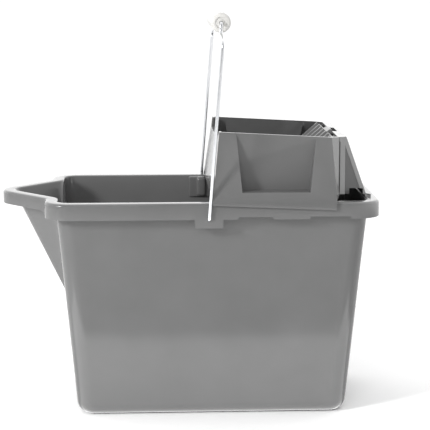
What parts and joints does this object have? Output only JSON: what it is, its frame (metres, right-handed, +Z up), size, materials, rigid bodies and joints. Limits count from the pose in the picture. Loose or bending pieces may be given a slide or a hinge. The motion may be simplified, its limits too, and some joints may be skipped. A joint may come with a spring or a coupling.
{
  "type": "mop bucket with wringer",
  "caption": "Grey plastic mop bucket with a pouring spout, a wire bail with a roller grip and a lift-off wringer with a sprung press plate.",
  "frame": {"origin": "on the floor under the middle of the overall length and width", "axes": "+Z up, -X towards the pouring spout, +X towards the wringer"},
  "size_m": [0.4473, 0.2588, 0.4776],
  "materials": {
    "grey_polypropylene": "glossy moulded",
    "press_polypropylene": "satin moulded",
    "white_polypropylene": "satin moulded",
    "bright_wire": "bright zinc plated",
    "zinc_steel": "zinc plated",
    "spring_steel": "drawn",
    "cap_nylon": "satin moulded"
  },
  "bodies": {
    "bucket": {"bucket": "grey_polypropylene"},
    "bail": {"bail_wire": "bright_wire"},
    "grip": {"bail_grip": "white_polypropylene"},
    "wringer": {"wringer_frame": "grey_polypropylene", "press_rod": "zinc_steel", "rod_caps": "cap_nylon", "front_plate": "press_polypropylene", "front_plate_screws": "zinc_steel", "press_spring_near": "spring_steel", "press_spring_far": "spring_steel"},
    "press": {"press_plate": "press_polypropylene"}
  },
  "joints": [
    {"name": "bail_swing", "type": "hinge", "parent": "bucket", "child": "bail", "pos_m": [0.0224, 0, 0.2425], "axis": [0, -1, 0], "range_deg": [0, 86.2]},
    {"name": "grip_spin", "type": "hinge", "parent": "bail", "child": "grip", "pos_m": [0.03959, 0, 0.46584], "axis": [0, 1, 0], "continuous": true},
    {"name": "wringer_lift", "type": "slide", "parent": "bucket", "child": "wringer", "axis": [0.1201, 0, 0.9928], "range_m": [0, 0.11]},
    {"name": "press_swing", "type": "hinge", "parent": "wringer", "child": "press", "pos_m": [0.07415, 0, 0.243], "axis": [0, -1, 0], "range_deg": [0, 40], "stiffness_Nm_per_rad": 0.3, "springref_deg": -20.05, "deforming": ["press_spring_near", "press_spring_far"]}
  ]
}
